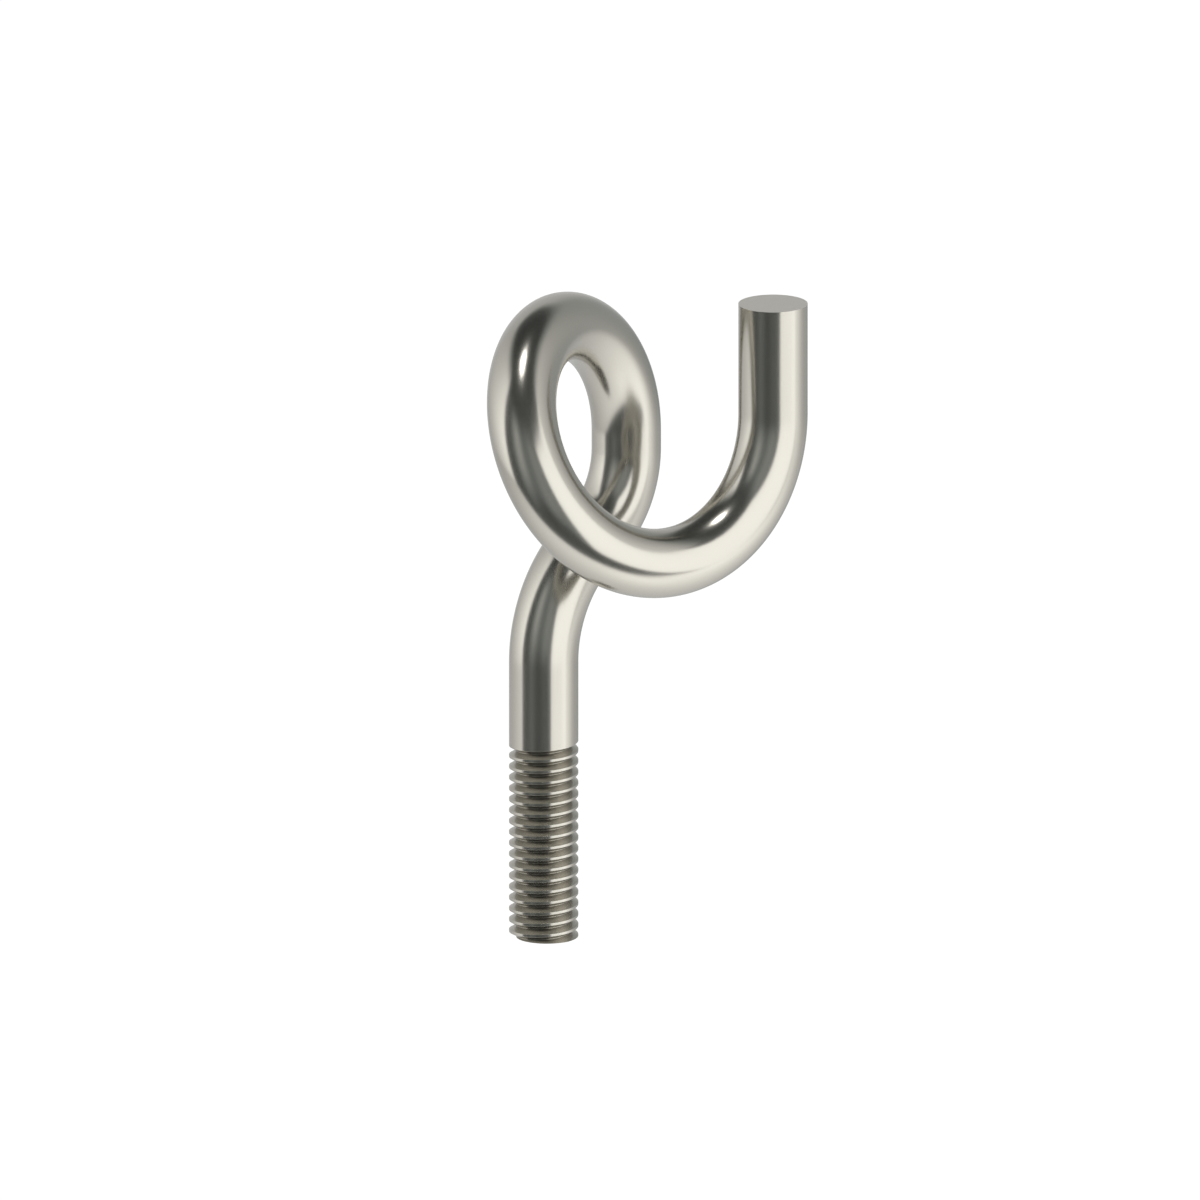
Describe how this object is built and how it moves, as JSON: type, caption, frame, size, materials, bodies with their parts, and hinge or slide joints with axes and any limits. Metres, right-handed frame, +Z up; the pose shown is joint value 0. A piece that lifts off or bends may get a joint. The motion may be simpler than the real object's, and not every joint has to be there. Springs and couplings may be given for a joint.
{
  "type": "ceiling hook",
  "caption": "Ceiling hook bent from a round steel rod: a threaded shank screws in overhead, and an open coil traps the ring, loop or chain wound onto it.",
  "frame": {"origin": "centre of the flat threaded end, on the shank's axis", "axes": "+Z runs up the shank's axis from the threaded end to the coil, as in the picture, so it points down when the hook is screwed into a ceiling. +X points from the shank to the side where the coil begins. The coil advances toward -Y."},
  "size_m": [0.0224, 0.019, 0.0472],
  "materials": {
    "steel_rod": "satin polished, slightly warm"
  },
  "bodies": {
    "root": {"ceiling_hook": "steel_rod"}
  },
  "joints": []
}
